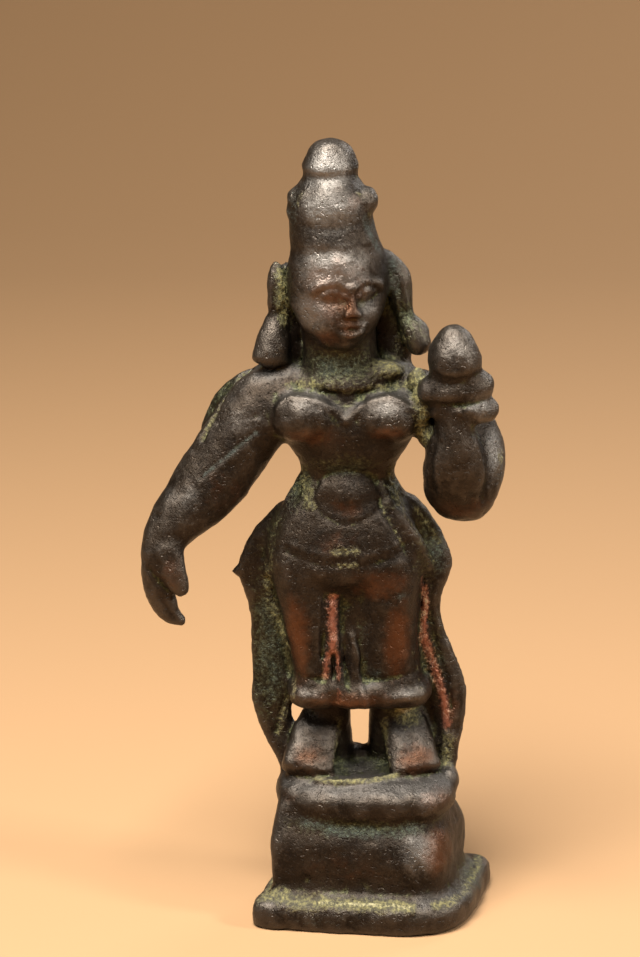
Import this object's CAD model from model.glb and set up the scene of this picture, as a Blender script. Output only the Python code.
# %% [markdown]
# # A small cast goddess figure on its plinth
# The real object is one solid casting in copper alloy, about a hand's width high. It was modelled in wax, cast,
# and then worn smooth by years of handling, so its forms melt into each other and its hollows hold old crust.
# The lesson makes it the same way: simple rounded forms are laid over each other, melted into one skin,
# carved and worn, and only then coloured, from what the shape itself says about hollows and worn heights.

import bpy
import numpy as np
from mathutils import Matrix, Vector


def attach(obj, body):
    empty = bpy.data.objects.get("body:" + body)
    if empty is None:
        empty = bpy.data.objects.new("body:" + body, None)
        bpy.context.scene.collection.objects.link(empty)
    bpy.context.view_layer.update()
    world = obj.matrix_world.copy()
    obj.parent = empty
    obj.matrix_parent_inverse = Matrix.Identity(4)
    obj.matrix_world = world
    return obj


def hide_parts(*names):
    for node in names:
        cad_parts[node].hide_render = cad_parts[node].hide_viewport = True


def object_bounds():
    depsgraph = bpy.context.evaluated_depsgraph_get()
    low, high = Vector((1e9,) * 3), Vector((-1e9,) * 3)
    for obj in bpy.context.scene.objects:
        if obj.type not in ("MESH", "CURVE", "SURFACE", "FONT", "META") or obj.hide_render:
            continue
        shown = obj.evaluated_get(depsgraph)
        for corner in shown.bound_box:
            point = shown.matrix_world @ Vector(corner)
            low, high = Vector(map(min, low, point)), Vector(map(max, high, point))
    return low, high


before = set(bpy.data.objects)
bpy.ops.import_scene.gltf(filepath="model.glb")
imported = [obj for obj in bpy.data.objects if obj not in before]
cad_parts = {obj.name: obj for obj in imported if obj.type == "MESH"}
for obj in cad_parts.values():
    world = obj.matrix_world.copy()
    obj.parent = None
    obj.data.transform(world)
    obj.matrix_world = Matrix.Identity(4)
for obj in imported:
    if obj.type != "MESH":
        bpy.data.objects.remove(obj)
cad_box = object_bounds()
print("solid box", [[round(c, 4) for c in corner] for corner in cad_box])

# %% [markdown]
# ## Camera
# The photograph was taken from about 40 cm away, a little above the figure. The camera looks down at the waist, so
# near that the slab is seen much more steeply from above than the crown.

# %% Camera
PHOTO_SIZE = (640, 957)
LENS_PX = 3100.0
CAMERA_TILT = np.radians(16.0)
CAMERA_REACH = 0.4043
LOOK_AT = np.array([-0.0072, 0.0020, 0.0592])

camera_data = bpy.data.cameras.new("camera")
camera_data.sensor_width = 36.0
camera_data.lens = LENS_PX * camera_data.sensor_width / max(PHOTO_SIZE)
camera_data.clip_start = 0.01
camera = bpy.data.objects.new("camera", camera_data)
camera.location = LOOK_AT + CAMERA_REACH * np.array([0.0, -np.cos(CAMERA_TILT), np.sin(CAMERA_TILT)])
camera.rotation_euler = (np.pi / 2 - CAMERA_TILT, 0.0, 0.0)
bpy.context.scene.collection.objects.link(camera)
bpy.context.scene.camera = camera
print("camera at", np.round(np.array(camera.location), 4))

# %% [markdown]
# ## Rounded forms
# A modeller in wax rolls and presses lumps into sausages, drops and pads. Each of them is one surface of two
# parameters: an oval section carried along a smooth spine, closed by a dome at each end. All work is in
# millimetres, and only the finished skin is turned into metres.

# %% Smooth spine
def smooth_path(points, steps):
    """Uniform Catmull-Rom curve through the points, with its tangents.

    Between points b and c, with neighbours a and d and f from 0 to 1, the curve is the cubic that leaves b along
    (c - a) / 2 and reaches c along (d - b) / 2."""
    points = np.asarray(points, float)
    padded = np.vstack([2 * points[0] - points[1], points, 2 * points[-1] - points[-2]])
    t = np.linspace(0, len(points) - 1, steps * (len(points) - 1) + 1)
    i = np.minimum(t.astype(int), len(points) - 2)
    f = (t - i)[:, None]
    a, b, c, d = (padded[i + k] for k in range(4))
    m0, m1 = (c - a) / 2, (d - b) / 2
    curve = b + m0 * f + (3 * (c - b) - 2 * m0 - m1) * f**2 + (2 * (b - c) + m0 + m1) * f**3
    slope = m0 + 2 * (3 * (c - b) - 2 * m0 - m1) * f + 3 * (2 * (b - c) + m0 + m1) * f**2
    return curve, slope


# %% Closed surface from a grid
def closed_surface(grid):
    """Vertices and faces of a grid of rings (ring, around, xyz) whose first and last rings are single points."""
    rings, around = grid.shape[:2]
    body = grid[1:-1].reshape(-1, 3)
    verts = np.vstack([grid[0, :1], body, grid[-1, :1]])
    index = 1 + np.arange((rings - 2) * around).reshape(rings - 2, around)
    turned = np.roll(index, -1, axis=1)
    quads = np.stack([index[:-1], index[1:], turned[1:], turned[:-1]], -1).reshape(-1, 4)
    last = len(verts) - 1
    start = np.stack([np.zeros(around, int), index[0], turned[0]], -1)
    end = np.stack([np.full(around, last), turned[-1], index[-1]], -1)
    return verts, quads, np.vstack([start, end])


# %% Form, lump and turned form
def form(stations, side=(1, 0, 0), square=2.0, domes=(1, 1), level=False, around=40, steps=8, dome_rows=7):
    """An oval section along a spine: centre + w * bend(-cos a) * across + d * bend(sin a) * out.

    bend(v) = sign(v) * |v| ** (2 / square), so square 2 is an ellipse. Over each dome the section shrinks by
    cos(e) while its centre moves out by dome * min(w, d) * sin(e), with e from 0 to 90 degrees."""
    stations = np.asarray(stations, float)
    centre, forward = smooth_path(stations[:, :3], steps)
    size, _ = smooth_path(stations[:, 3:5], steps)
    if level:
        forward = np.zeros_like(forward) + [0, 0, np.sign(stations[-1, 2] - stations[0, 2])]
    forward = forward / np.linalg.norm(forward, axis=1, keepdims=True)
    lift = np.sin(np.linspace(0, np.pi / 2, dome_rows + 1))[1:]
    shrink = np.append(np.cos(np.linspace(0, np.pi / 2, dome_rows + 1))[1:-1], 0)
    head, tail = size[0].min() * domes[0], size[-1].min() * domes[1]
    centre = np.vstack([centre[0] - forward[0] * head * lift[::-1, None], centre,
                        centre[-1] + forward[-1] * tail * lift[:, None]])
    size = np.vstack([size[0] * shrink[::-1, None], size, size[-1] * shrink[:, None]])
    forward = np.vstack([np.tile(forward[0], (dome_rows, 1)), forward, np.tile(forward[-1], (dome_rows, 1))])
    across = np.asarray(side, float) - forward * (forward @ np.asarray(side, float))[:, None]
    across /= np.linalg.norm(across, axis=1, keepdims=True)
    out = np.cross(forward, across)
    angle = np.linspace(0, 2 * np.pi, around, endpoint=False)
    u = -np.sign(np.cos(angle)) * np.abs(np.cos(angle)) ** (2 / square)
    v = np.sign(np.sin(angle)) * np.abs(np.sin(angle)) ** (2 / square)
    grid = (centre[:, None] + across[:, None] * (size[:, :1] * u)[..., None]
            + out[:, None] * (size[:, 1:] * v)[..., None])
    return closed_surface(grid)


def lump(centre, half, around=32, rows=20):
    """An ellipsoid: centre + half * (sin e cos a, sin e sin a, -cos e)."""
    e = np.linspace(0, np.pi, rows + 1)[:, None]
    a = np.linspace(0, 2 * np.pi, around, endpoint=False)[None]
    ball = np.stack([np.sin(e) * np.cos(a), np.sin(e) * np.sin(a), -np.cos(e) + 0 * a], -1)
    return closed_surface(np.asarray(centre) + np.asarray(half) * ball)


def turned(centre, profile, around=48):
    """A lathe form: centre + (r cos a, r sin a, z) for each (r, z) of the profile, from the axis to the axis."""
    r, z = np.asarray(profile, float).T[:, :, None]
    a = np.linspace(0, 2 * np.pi, around, endpoint=False)[None]
    return closed_surface(np.asarray(centre) + np.stack([r * np.cos(a), r * np.sin(a), z + 0 * a], -1))


# %% [markdown]
# ## Plinth
# The slab is a hand-cut quadrilateral with soft corners, and its front edge runs forward to the right. The pedestal
# above it has the same plan, drawn in and swollen like a cushion, and a thick roll droops over its top. Old casting
# crust makes the ledge between them slope. The slab, the ledge and the pedestal are the same plan outline at other
# heights, so one function draws them. The roll is a broad, level form of its own.

# %% Plan outline and column
SLAB_CORNERS = np.array([[-16.8, -8.3], [11.2, -12.2], [16.9, 9.2], [-10.6, 11.4]])
SLAB_ROUNDS = (2.8, 8.5, 3.8, 3.0)
PEDESTAL_ROUNDS = (2.2, 5.5, 5.0, 3.5)
CORNER_STEPS = 16


def plan(scale, shift, rounds):
    """A rounded quadrilateral: each corner is the curve (1-s)^2 a + 2 s (1-s) corner + s^2 b, where a and b lie on
    the two sides at the corner's own reach."""
    corners = SLAB_CORNERS * scale + shift
    s = np.linspace(0, 1, CORNER_STEPS)[:, None]
    outline = []
    for i, reach in enumerate(rounds):
        corner = corners[i]
        before, after = corners[i - 1] - corner, corners[(i + 1) % 4] - corner
        a = corner + before / np.linalg.norm(before) * reach
        b = corner + after / np.linalg.norm(after) * reach
        outline.append((1 - s) ** 2 * a + 2 * s * (1 - s) * corner + s**2 * b)
    return np.vstack(outline)


def column(levels, rounds, steps=6):
    """Plan outlines stacked along a smooth profile of (z, scale x, scale y, shift x, shift y), closed flat."""
    profile, _ = smooth_path(levels, steps)
    rings = [np.column_stack([plan(row[1:3], row[3:5], rounds), np.full(4 * CORNER_STEPS, row[0])])
             for row in profile]
    ends = [np.tile(ring.mean(0), (len(ring), 1)) for ring in (rings[0], rings[-1])]
    return closed_surface(np.stack([ends[0], *rings, ends[1]]))


# %% The drooping roll
PEDESTAL_TURN = np.radians(-6)
ROLL_DROOP, ROLL_MIDDLE, ROLL_HALF_WIDTH = 0.9, -2.0, 12.0


def drooping_roll():
    """The roll: a level form whose front lip sags by droop * (1 - ((x - middle) / half width)^2), fading out
    towards the back and towards the top."""
    verts, quads, tris = form(
        [[-0.9, 0.5, 14.8, 11.2, 6.6], [-1.0, 0.5, 15.8, 11.9, 7.6], [-1.0, 0.5, 17.0, 12.0, 7.7],
         [-1.0, 0.6, 18.1, 11.5, 7.0], [-1.0, 0.8, 18.9, 10.4, 5.8]],
        side=(np.cos(PEDESTAL_TURN), np.sin(PEDESTAL_TURN), 0), square=2.8, domes=(0.1, 0.12), level=True, around=72)
    sag = ROLL_DROOP * np.clip(1 - ((verts[:, 0] - ROLL_MIDDLE) / ROLL_HALF_WIDTH) ** 2, 0, 1)
    sag = sag * np.clip(-verts[:, 1] / 6, 0, 1)
    verts[:, 2] -= sag * np.clip((17.5 - verts[:, 2]) / 2, 0, 1)
    return verts, quads, tris


# %% Slab, ledge, pedestal, roll and the knob at the roll's right end
plinth = [
    column([[0.0, 0.975, 0.965, 0, 0], [0.5, 0.995, 0.99, 0, 0], [1.8, 1.0, 1.0, 0, 0], [2.9, 0.995, 0.99, 0, 0],
            [3.6, 0.965, 0.95, 0, 0], [3.9, 0.915, 0.90, 0, 0]], SLAB_ROUNDS),
    column([[3.2, 0.93, 0.92, 0, 0], [3.9, 0.88, 0.875, 0, 0], [4.8, 0.82, 0.80, -0.2, 0.2]], PEDESTAL_ROUNDS),
    column([[3.0, 0.80, 0.755, -0.4, 0.4], [5.0, 0.82, 0.78, -0.4, 0.4], [8.5, 0.83, 0.80, -0.4, 0.4],
            [11.5, 0.81, 0.76, -0.6, 0.4], [14.0, 0.765, 0.67, -1.0, 0.5], [16.5, 0.72, 0.60, -1.1, 0.6]],
           PEDESTAL_ROUNDS),
    drooping_roll(),
    lump([10.0, 0.6, 18.0], [1.5, 2.4, 1.7]),
]
print("plinth forms", len(plinth))

# %% [markdown]
# ## Legs and skirt
# The feet are blunt wedges. Above the ankles the wrapped skirt ends in a thick rolled hem that runs across both
# legs, and under an arch of cloth two narrow pleats hang between them.

# %% Feet, legs, pleats and hips
def foot(heel_x, toe_x, heel_w, toe_w, shin_x, shin_w):
    """A flat-topped wedge from ankle to toes, a heel behind it and a shin that rises into the hem."""
    mid_x, mid_w = (heel_x + toe_x) / 2, (heel_w + toe_w) / 2
    return [
        form([[heel_x, 3.7, 25.1, heel_w, 2.3], [mid_x, 1.2, 22.9, mid_w, 2.3], [toe_x, -1.6, 20.0, toe_w, 1.8]],
             square=3.2, domes=(0.7, 0.5)),
        lump([heel_x, 3.6, 20.8], [heel_w, 3.1, 2.7]),
        form([[shin_x, 3.9, 19.4, shin_w + 0.3, 2.6], [shin_x, 3.9, 30.6, shin_w, 2.5]],
             domes=(0.1, 0.1), level=True),
    ]


def leg(hip_x, knee_x, hem_x, hip_w, knee_w, hem_w):
    """A thigh that narrows to the knee, and the rolled hem below it."""
    return [
        form([[hip_x * 0.85 - 0.6, 2.4, 54.5, hip_w * 0.75, 3.6], [hip_x, 2.0, 49.0, hip_w, 4.9],
              [(hip_x + knee_x) / 2, 1.9, 42.0, (hip_w + knee_w) / 2, 4.6], [knee_x, 1.9, 36.0, knee_w, 4.1],
              [hem_x, 1.9, 30.6, knee_w, 3.9]], square=2.2, domes=(0.5, 0.1), level=True),
        form([[hem_x, 1.8, 29.1, hem_w - 0.3, 3.9], [hem_x, 1.6, 30.3, hem_w, 4.5],
              [hem_x, 1.7, 31.3, hem_w - 0.3, 4.2]], square=2.3, domes=(0.3, 0.25), level=True),
    ]


def pleat(x, top, bottom, wide, y):
    """A narrow ridge that widens downwards."""
    return form([[x, y + 0.4, top, wide * 0.6, 0.8], [x, y, (top + bottom) / 2, wide, 1.1],
                 [x + 0.2, y - 0.3, bottom, wide * 1.4, 1.2]])


# %% The lower body put together
lower_body = [
    *foot(-7.2, -8.8, 2.8, 3.6, -6.1, 3.0),
    *foot(3.9, 5.6, 2.9, 3.5, 2.7, 3.3),
    # low bank of metal between the heels
    form([[-2.2, 4.6, 19.2, 3.4, 1.9], [-2.2, 4.7, 20.6, 3.2, 1.6]], level=True, domes=(0.1, 0.4)),
    *leg(-9.3, -8.6, -7.8, 4.6, 2.5, 3.8),
    *leg(1.4, 1.9, 2.7, 4.5, 3.9, 5.0),
    # hem between the legs
    form([[-6.4, -0.6, 30.6, 1.9, 1.7], [-2.4, -1.2, 30.3, 1.75, 1.5], [1.4, -0.9, 30.6, 1.9, 1.7]],
         side=(0, 0, 1)),
    pleat(-5.5, 44.0, 31.5, 0.95, -1.3),
    pleat(-2.9, 41.5, 30.6, 0.75, -0.55),
    # the wrapped cloth behind and above the legs, up to the waist
    form([[-2.0, 3.2, 29.2, 8.0, 3.9], [-2.4, 3.2, 35.0, 7.9, 4.0], [-3.3, 3.3, 42.0, 8.4, 4.3],
          [-3.5, 3.4, 44.2, 8.8, 4.7], [-3.9, 2.5, 46.7, 9.4, 5.8], [-4.0, 2.6, 49.8, 9.8, 6.1],
          [-3.9, 2.3, 53.6, 9.0, 5.3], [-3.5, 2.4, 57.9, 6.9, 4.2]],
         square=2.5, domes=(0.2, 0.1), level=True, around=64),
]
print("lower body forms", len(lower_body))

# %% [markdown]
# ## Torso, arms and hands
# The bodice overhangs a pinched waist, and the belly is an oval boss of its own. The right arm hangs away from the
# body with a drooping hand; the left is folded up, two thick fingers of its fist closed round the stem of a bud.

# %% Torso
torso = [
    # waist and chest
    form([[-3.5, 2.4, 57.9, 6.9, 4.2], [-3.5, 2.6, 60.4, 5.9, 3.9], [-3.5, 2.1, 63.0, 7.2, 4.5],
          [-3.6, 1.6, 66.2, 8.9, 4.9], [-3.7, 1.9, 69.6, 9.1, 4.5], [-3.9, 2.6, 72.3, 8.1, 3.6]],
         square=2.3, domes=(0.1, 0.3), level=True, around=64),
    # boss of the belly
    lump([-3.8, 0.0, 57.8], [4.9, 2.4, 3.3]),
    # bodice
    lump([-9.2, -0.6, 68.5], [4.7, 3.9, 3.7]),
    lump([1.6, -0.6, 68.4], [4.7, 3.9, 3.7]),
    lump([-3.8, -0.2, 66.6], [4.8, 3.3, 2.9]),
    # neck and the slope of the shoulders
    form([[-4.1, 2.3, 72.5, 6.4, 3.8], [-4.4, 2.0, 75.4, 4.9, 3.7], [-4.8, 1.8, 79.5, 4.8, 4.0]],
         domes=(0.1, 0.1), level=True),
    form([[-4.0, 2.0, 72.4, 7.2, 4.4], [-4.0, 2.0, 73.6, 6.2, 3.9]], domes=(0.2, 0.3), level=True),
]
print("torso forms", len(torso))

# %% Arms and hands
right_arm = [
    # arm to the wrist, fingers, thumb, and the scarf end behind the shoulder
    form([[-10.6, 2.7, 71.2, 3.4, 3.3], [-14.2, 2.5, 68.9, 4.8, 4.1], [-17.5, 2.0, 64.7, 4.75, 4.1],
          [-20.4, 1.4, 60.4, 4.8, 4.0], [-23.3, 0.5, 57.0, 4.3, 3.6], [-25.9, -0.5, 54.2, 3.5, 3.1],
          [-27.8, -1.5, 51.0, 2.8, 2.6], [-28.4, -2.0, 48.3, 2.2, 2.0]]),
    form([[-28.4, -2.0, 48.5, 2.2, 1.9], [-28.1, -2.0, 45.0, 1.95, 1.5], [-26.9, -2.0, 42.2, 1.6, 1.2],
          [-25.3, -2.0, 40.9, 0.7, 0.6]]),
    form([[-27.1, -2.7, 51.4, 2.2, 1.7], [-26.4, -3.3, 48.5, 2.0, 1.5], [-25.3, -3.5, 46.0, 1.2, 1.1]]),
    form([[-12.6, 5.2, 73.4, 1.6, 1.4], [-18.2, 5.2, 70.0, 1.9, 1.5], [-21.1, 4.9, 65.8, 1.6, 1.3],
          [-22.0, 4.6, 64.0, 1.0, 1.0]]),
]
left_arm = [
    # upper arm, forearm, and the two fingers closed round the stem
    form([[3.4, 2.8, 71.6, 2.9, 3.1], [7.6, 3.0, 69.0, 3.7, 3.3], [11.2, 2.6, 65.4, 4.5, 3.8],
          [12.2, 1.8, 61.6, 4.8, 4.2], [11.2, 0.7, 57.9, 4.6, 4.0]]),
    form([[10.9, 0.1, 58.6, 4.7, 3.7], [10.1, -2.0, 62.0, 4.1, 3.6], [10.1, -3.0, 65.8, 3.2, 3.0],
          [10.1, -3.6, 68.6, 2.2, 2.2], [10.1, -3.8, 70.2, 1.6, 1.8]]),
    form([[8.2, -2.9, 70.0, 1.6, 2.0], [11.6, -3.6, 69.9, 2.0, 2.4], [14.0, -3.0, 69.8, 1.8, 2.0]],
         side=(0, 0, 1)),
    form([[7.0, -3.0, 72.5, 1.9, 2.2], [10.2, -3.5, 72.7, 2.25, 2.7], [13.1, -3.1, 73.0, 1.9, 2.3]],
         side=(0, 0, 1)),
]
print("arm forms", len(right_arm) + len(left_arm))

# %% Bud, turned with a blunt tip
BUD_RADIUS, BUD_SHOULDER, BUD_HEIGHT = 3.55, 1.1, 5.0
bud_rise = np.linspace(0, 1, 14)
bud_profile = np.stack([BUD_RADIUS * (1 - bud_rise**1.7) ** 0.65, BUD_SHOULDER + BUD_HEIGHT * bud_rise], -1)
bud = [turned([9.9, -3.2, 75.1], np.vstack([[0, -0.9], [3.0, -0.7], [3.45, 0.2], bud_profile]))]
print("bud profile points", len(bud_profile) + 3)

# %% [markdown]
# ## Head, hair and crown
# The head is a long oval, turned a little to its left. Its face is a calm one of our own on the usual proportions,
# as worn as the rest. The hair is gathered in a knot at the nape with a lock on each shoulder, and heavy pendants
# hang from long ears. The crown is a sloping drum with a boss on each side under a conical knob.

# %% Direction of the face
FACE_AXIS = np.array([-4.9, 1.4])
FACE_TURN = np.radians(18)


def turn_to_face(x, y):
    """Rotate face coordinates (x to the figure's left, y backwards) into the part's frame."""
    c, s = np.cos(FACE_TURN), np.sin(FACE_TURN)
    return FACE_AXIS[0] + c * x - s * y, FACE_AXIS[1] + s * x + c * y


def face_form(stations, **options):
    """A form whose stations are given relative to the head's axis and turned with the face."""
    placed = [[*turn_to_face(x, y), z, w, d] for x, y, z, w, d in stations]
    return form(placed, side=(np.cos(FACE_TURN), np.sin(FACE_TURN), 0), **options)


def lock_of_hair(x, lean):
    """A thick strand that falls behind the ear onto the shoulder."""
    return form([[x, 4.6, 85.0, 1.7, 1.8], [x - lean, 5.3, 80.2, 2.4, 2.0], [x - 1.3 * lean, 5.0, 76.0, 2.8, 2.2],
                 [x - 2.2 * lean, 4.4, 73.0, 2.2, 1.8]])


# %% Head, hair and ears
head = [
    form([[FACE_AXIS[0] + 0.3, -0.6, 78.4, 3.0, 2.7], [FACE_AXIS[0] + 0.1, 0.4, 79.9, 4.8, 4.5],
          [FACE_AXIS[0], 1.2, 82.6, 6.1, 5.4], [FACE_AXIS[0], 1.6, 85.6, 6.45, 5.9],
          [FACE_AXIS[0] - 0.1, 1.9, 88.4, 6.2, 5.9], [FACE_AXIS[0] - 0.2, 2.1, 90.4, 5.8, 5.6]],
         domes=(0.45, 0.2), level=True, around=64),
    # nose
    face_form([[0, -5.2, 86.6, 0.75, 0.8], [0, -5.7, 84.4, 0.85, 0.95], [0, -5.9, 82.5, 1.25, 1.0]],
              domes=(1.0, 0.5)),
    # knot of hair at the nape, with its side locks
    lump([-4.6, 6.0, 79.6], [5.8, 3.7, 5.0]),
    lump([-10.0, 6.0, 77.0], [2.7, 1.8, 4.4]),
    lump([2.2, 6.0, 77.4], [3.0, 1.8, 4.6]),
    lock_of_hair(-10.2, 1.0),
    lock_of_hair(0.6, -1.0),
    # ears
    lump([-12.9, 3.0, 83.9], [1.3, 1.5, 4.2]),
    lump([-11.6, 4.3, 83.6], [1.5, 1.7, 4.0]),
    form([[1.2, 3.0, 88.4, 1.1, 1.3], [2.8, 2.9, 86.0, 1.6, 1.6], [3.3, 2.8, 83.2, 1.45, 1.6],
          [3.8, 2.8, 80.8, 1.1, 1.4]]),
    # pendants
    form([[-13.0, 2.8, 79.9, 1.5, 1.4], [-13.3, 2.3, 77.6, 2.3, 1.9], [-13.6, 1.9, 75.4, 2.5, 2.0]],
         domes=(1.0, 0.65)),
    form([[3.8, 2.8, 80.8, 1.1, 1.3], [4.9, 2.3, 78.7, 1.8, 1.7], [5.7, 2.0, 77.0, 1.6, 1.7]],
         domes=(1.0, 0.7)),
]
print("head forms", len(head))

# %% Crown
DRUM_X = -5.75
KNOB_RADIUS, KNOB_TAPER, KNOB_FOOT, KNOB_HEIGHT = 3.85, 0.36, 1.0, 3.7
knob_rise = np.linspace(0, 1, 16)
knob_cone = np.stack([KNOB_RADIUS * (1 - KNOB_TAPER * knob_rise) * np.sqrt(1 - knob_rise**6),
                      KNOB_FOOT + KNOB_HEIGHT * knob_rise], -1)
crown = [
    # drum, its lower rim, the bosses at its sides and the knob
    form([[DRUM_X + 0.5, 2.1, 89.8, 5.8, 5.6], [DRUM_X, 2.1, 93.4, 5.4, 5.3], [DRUM_X - 0.1, 2.1, 95.6, 5.25, 5.2],
          [DRUM_X - 0.1, 2.1, 97.2, 4.8, 4.7], [DRUM_X - 0.1, 2.1, 98.7, 3.9, 3.9]],
         domes=(0.1, 0.1), level=True, around=64),
    form([[DRUM_X + 0.4, 2.0, 91.0, 5.75, 5.65], [DRUM_X + 0.3, 2.0, 91.9, 5.6, 5.5]],
         domes=(0.12, 0.12), level=True, around=64),
    lump([-10.5, 1.4, 96.4], [1.0, 1.4, 1.2]),
    lump([-10.7, 1.5, 94.7], [0.9, 1.3, 1.1]),
    lump([-1.5, 0.6, 96.2], [1.6, 1.8, 2.0]),
    turned([-5.9, 2.1, 99.3], np.vstack([[0.0, -1.2], [3.5, -1.2], [3.45, 0.3], knob_cone])),
]
print("crown forms", len(crown))

# %% [markdown]
# ## Sashes and crust
# A long sash end falls from each hip beside the legs and comes down on the roll of the pedestal. Each is a flat
# tapering band, so its section is a thin oval; a second band closes it to the thigh, and folded cords drape from
# the waist over both hips. Lumps of casting crust were never cleaned out between the breast and the raised hand.

# %% Sashes and folds
sashes = [
    # right side: hanging band, its pointed flare, and the band against the thigh
    form([[-11.6, 3.2, 54.0, 2.0, 1.8], [-14.8, 3.5, 49.8, 2.0, 1.3], [-15.4, 3.5, 46.4, 2.6, 1.2],
          [-14.5, 3.5, 42.0, 2.2, 1.1], [-13.9, 3.6, 37.0, 2.6, 1.0], [-13.5, 3.6, 32.0, 2.9, 1.0],
          [-13.5, 3.6, 28.0, 2.8, 1.0], [-12.8, 3.4, 23.8, 2.2, 1.0], [-11.6, 3.0, 20.0, 1.4, 1.0],
          [-11.2, 2.6, 17.6, 1.2, 1.0]]),
    form([[-13.6, 3.4, 47.6, 3.2, 1.0], [-16.0, 3.4, 46.7, 1.9, 0.8], [-18.3, 3.4, 46.1, 0.6, 0.6]], side=(0, 0, 1)),
    form([[-11.6, 4.2, 52.0, 1.8, 1.4], [-12.0, 4.0, 44.0, 1.9, 1.2], [-11.0, 3.9, 36.0, 2.3, 1.1],
          [-10.6, 3.9, 28.6, 2.0, 1.0]]),
    # left side: hanging band and the band against the thigh
    form([[4.2, 3.2, 55.0, 2.0, 1.8], [6.6, 3.5, 50.6, 2.4, 1.7], [7.7, 3.5, 47.2, 2.5, 1.6],
          [7.3, 3.5, 43.6, 1.8, 1.3], [7.4, 3.5, 40.0, 1.6, 1.1], [8.1, 3.6, 36.2, 1.9, 1.0],
          [9.2, 3.6, 33.0, 2.1, 1.0], [10.1, 3.6, 29.0, 2.25, 1.0], [10.2, 3.4, 25.0, 1.9, 1.0],
          [10.0, 3.0, 21.5, 1.5, 1.0], [9.9, 2.6, 18.0, 1.3, 1.0]]),
    form([[4.4, 4.2, 52.0, 2.0, 1.4], [6.2, 4.0, 44.0, 1.8, 1.2], [5.8, 3.9, 38.0, 2.4, 1.1],
          [6.4, 4.1, 33.0, 2.6, 1.0], [7.4, 4.4, 28.0, 2.4, 0.9], [7.8, 3.6, 18.6, 2.4, 1.2]]),
    # cords that drape over the hips
    form([[0.6, 0.0, 58.8, 0.9, 0.8], [2.9, -0.7, 54.8, 1.3, 1.0], [4.9, 0.1, 51.0, 1.5, 1.1],
          [6.5, 1.6, 47.6, 1.3, 1.1]]),
    form([[-8.6, 1.8, 60.2, 0.9, 1.0], [-10.9, 1.5, 56.0, 1.1, 1.1], [-12.8, 1.4, 51.4, 1.1, 1.1],
          [-13.8, 2.2, 46.6, 0.9, 1.0]]),
]
print("sash and fold forms", len(sashes))

# %% Crust between the breast and the raised hand
crust = [
    lump([0.8, 1.0, 74.0], [2.8, 2.2, 1.5]),
    lump([5.4, -0.6, 73.2], [1.3, 1.3, 1.6]),
    lump([5.9, -1.9, 70.0], [1.2, 1.3, 2.4]),
    lump([6.4, -0.6, 66.8], [1.3, 1.6, 2.6]),
]
print("crust forms", len(crust))

# %% [markdown]
# ## One skin
# In the wax the forms were pressed together. A voxel remesh does the same: it keeps only the outer surface of the
# overlapping forms and lays one even net of small squares over it.

# %% Melt the forms into one skin
SKIN_STEP = 0.29


def join(forms):
    """One mesh of all the forms' vertices and faces, each form's indices shifted behind the ones before it."""
    shifts = np.cumsum([0] + [len(v) for v, _, _ in forms])
    faces = [(f + shift).tolist() for (_, quads, tris), shift in zip(forms, shifts) for f in (quads, tris)]
    mesh = bpy.data.meshes.new("forms")
    mesh.from_pydata(np.vstack([v for v, _, _ in forms]).tolist(), [], sum(faces, []))
    return mesh


def through_modifier(mesh, kind, **settings):
    """A new mesh: the given one after one modifier."""
    carrier = bpy.data.objects.new("carrier", mesh)
    bpy.context.scene.collection.objects.link(carrier)
    modifier = carrier.modifiers.new(kind, kind)
    for key, value in settings.items():
        setattr(modifier, key, value)
    result = bpy.data.meshes.new_from_object(carrier.evaluated_get(bpy.context.evaluated_depsgraph_get()))
    bpy.data.objects.remove(carrier)
    bpy.data.meshes.remove(mesh)
    return result


forms_mesh = join([*plinth, *lower_body, *torso, *right_arm, *left_arm, *bud, *head, *crown, *sashes, *crust])
skin = through_modifier(forms_mesh, "REMESH", mode="VOXEL", voxel_size=SKIN_STEP)
points = np.zeros(len(skin.vertices) * 3, np.float32)
skin.vertices.foreach_get("co", points)
points = points.reshape(-1, 3).astype(float)
loop_verts = np.zeros(len(skin.loops), np.int32)
skin.loops.foreach_get("vertex_index", loop_verts)
squares = loop_verts.reshape(-1, 4)
print("skin", len(points), "vertices,", len(squares), "squares")

# %% [markdown]
# ## Wear
# Years of handling rounded the heights, and old wax and dirt filled the hollows. Both are small moves of each
# vertex along its normal towards the mean of its neighbours. A few even rounds take off the marks of the net, then
# more rounds fill the hollows far more than they wear the heights.

# %% Neighbours and normals
edges = np.unique(np.sort(np.stack([squares, np.roll(squares, -1, axis=1)], -1).reshape(-1, 2), axis=1), axis=0)
neighbours = np.bincount(edges.ravel(), minlength=len(points)).astype(float)


def around_mean(values):
    """Mean over each vertex's neighbours, column by column."""
    columns = values.reshape(len(values), -1).T
    total = [np.bincount(edges[:, 0], c[edges[:, 1]], len(c)) + np.bincount(edges[:, 1], c[edges[:, 0]], len(c))
             for c in columns]
    return (np.stack(total, -1) / neighbours[:, None]).reshape(values.shape)


def normals_of(p):
    """Area-weighted vertex normals: the sum of (c - a) x (d - b) over the squares a b c d round each vertex."""
    face = np.cross(p[squares[:, 2]] - p[squares[:, 0]], p[squares[:, 3]] - p[squares[:, 1]])
    n = np.stack([np.bincount(squares.ravel(), np.repeat(face[:, k], 4), len(p)) for k in range(3)], -1)
    return n / (np.linalg.norm(n, axis=1, keepdims=True) + 1e-12)


def soften(p, rounds, hollow, height):
    """Each round moves a vertex along its normal by a share of the way to its neighbours' mean, with one share for
    hollows and another for heights."""
    for _ in range(rounds):
        n = normals_of(p)
        gap = np.einsum("ij,ij->i", around_mean(p) - p, n)
        p = p + n * (gap * np.where(gap > 0, hollow, height))[:, None]
    return p


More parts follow.
